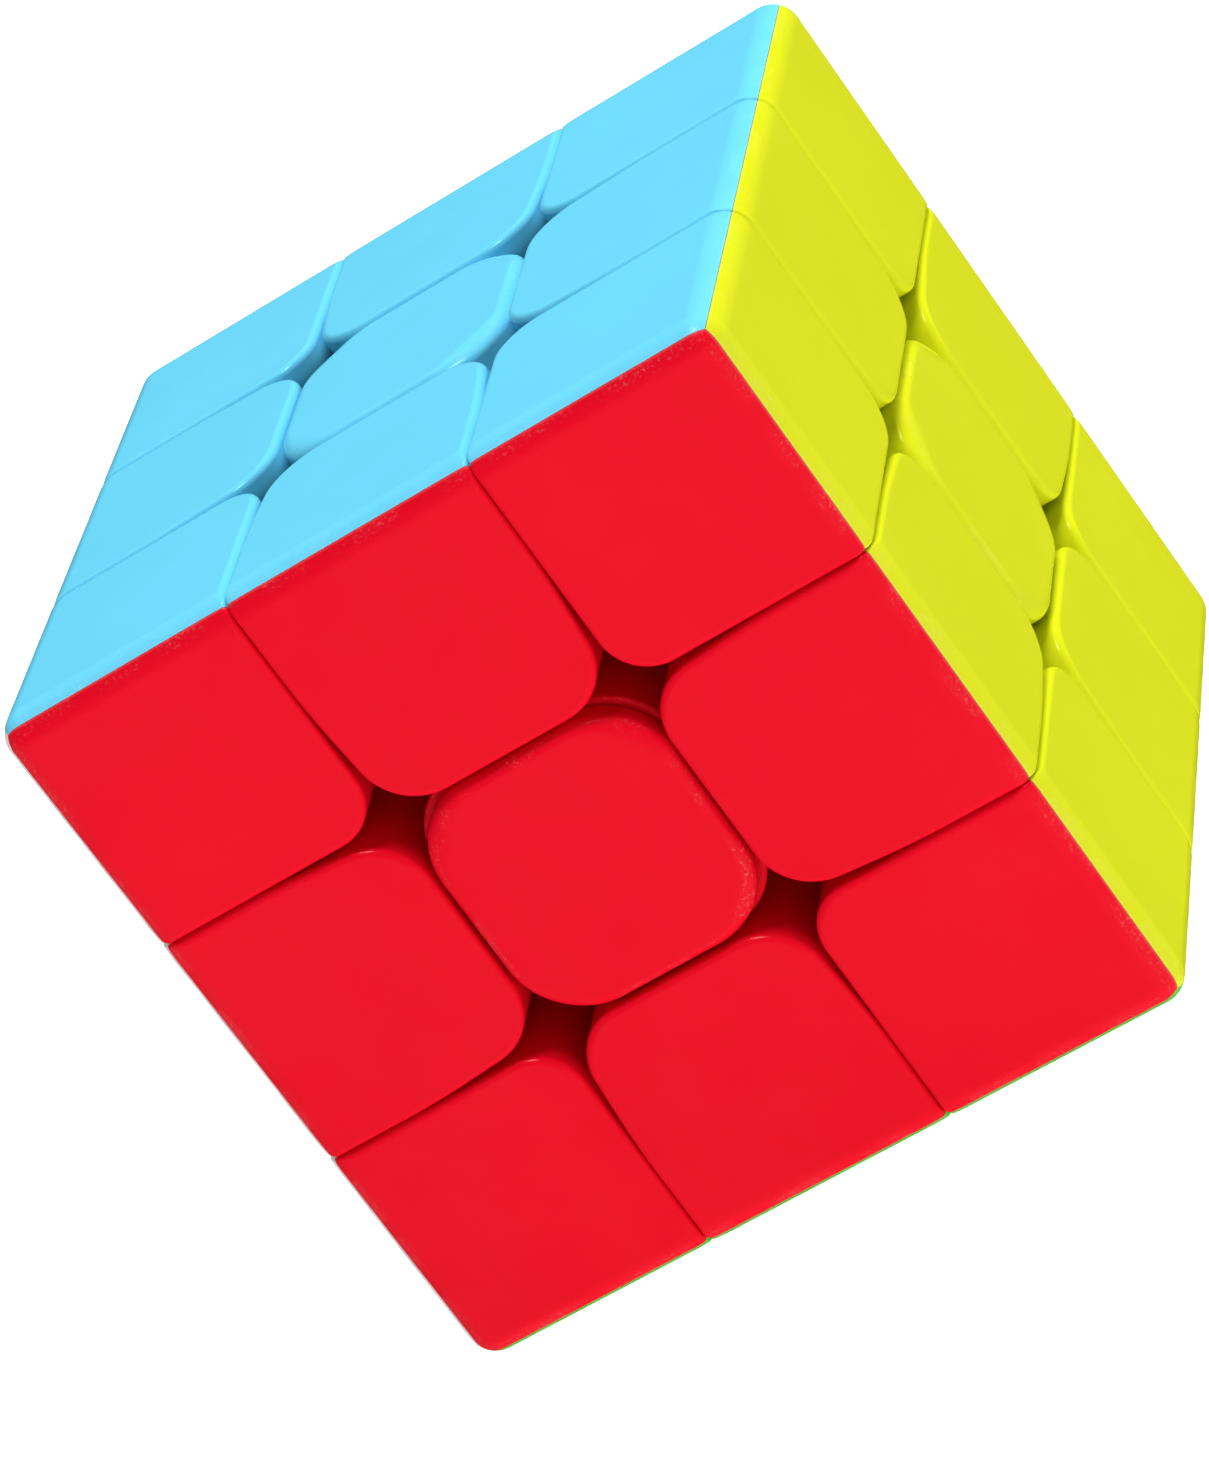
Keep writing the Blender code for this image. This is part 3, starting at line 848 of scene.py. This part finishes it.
def add_camera():
    """Long-lens camera at the front right, rolled so that the cube seems to stand on a corner."""
    data = bpy.data.cameras.new("camera")
    data.lens = CAMERA_LENS
    data.clip_start, data.clip_end = CAMERA_REACH
    camera = bpy.data.objects.new("camera", data)
    camera.location = CAMERA_PLACE
    turn = Matrix.Rotation(math.radians(CAMERA_AZIMUTH), 3, "Z")
    tilt = Matrix.Rotation(math.radians(90 - CAMERA_ELEVATION), 3, "X")
    roll = Matrix.Rotation(math.radians(-CAMERA_ROLL), 3, "Z")
    camera.rotation_euler = (turn @ tilt @ roll).to_euler()
    bpy.context.scene.collection.objects.link(camera)
    bpy.context.scene.camera = camera


def add_softbox(name, place, side, power, mirrored):
    """Square soft light at a place, turned towards the cube."""
    data = bpy.data.lights.new(name, "AREA")
    data.size = side
    data.energy = power
    light = bpy.data.objects.new(name, data)
    light.location = place
    light.rotation_euler = (-Vector(place)).to_track_quat("-Z", "Y").to_euler()
    light.visible_glossy = mirrored
    bpy.context.scene.collection.objects.link(light)


def add_world():
    """White surroundings that light the cube less than they look. The gloss does not mirror them."""
    world = bpy.data.worlds.new("studio")
    world.use_nodes = True
    world.cycles_visibility.glossy = False
    tree = world.node_tree
    path = add(tree, "ShaderNodeLightPath", {})
    dim, bright = ([level] * 3 + [1] for level in (WORLD_LIGHTING, WORLD_SEEN))
    brightness = mixed(tree, path.outputs["Is Camera Ray"], dim, bright)
    tree.links.new(brightness, tree.nodes["Background"].inputs["Color"])
    bpy.context.scene.world = world


def add_floor():
    """White glowing table that the cube stands on, which lets the light of a low softbox through."""
    material, _, shader = new_material("floor")
    shader.inputs["Base Color"].default_value = FLOOR_BASE
    shader.inputs["Roughness"].default_value = FLOOR_ROUGHNESS
    shader.inputs["Specular IOR Level"].default_value = FLOOR_SPECULAR
    shader.inputs["Emission Color"].default_value = (1.0, 1.0, 1.0, 1.0)
    shader.inputs["Emission Strength"].default_value = FLOOR_GLOW
    half = FLOOR_SIDE / 2
    corners = [(-half, -half, 0), (half, -half, 0), (half, half, 0), (-half, half, 0)]
    mesh = bpy.data.meshes.new("floor")
    mesh.from_pydata(corners, [], [(0, 1, 2, 3)])
    mesh.materials.append(material)
    floor = bpy.data.objects.new("floor", mesh)
    floor.location = (0, 0, -HALF_SIDE)
    floor.visible_glossy = False
    floor.visible_shadow = False
    bpy.context.scene.collection.objects.link(floor)


def main():
    """Build the cube and its studio."""
    shells = {slot: face_plastic(slot, cap=False) for slot in FACE_SLOTS.values()}
    caps = {slot: face_plastic(slot, cap=True) for slot in FACE_SLOTS.values()}
    add_centres(caps, steel("screw_steel", 6), steel("spring_steel", 3))
    add_edges(shells)
    add_corners(shells)
    core_plastic = matte_plastic("core_plastic")
    place("hub", core_body(), facing("up"), core_plastic, "core", "core_plastic", "core")
    add_floor()
    add_world()
    for softbox in SOFTBOXES:
        add_softbox(*softbox)
    add_camera()
    bpy.context.scene.view_settings.view_transform = "Standard"


main()
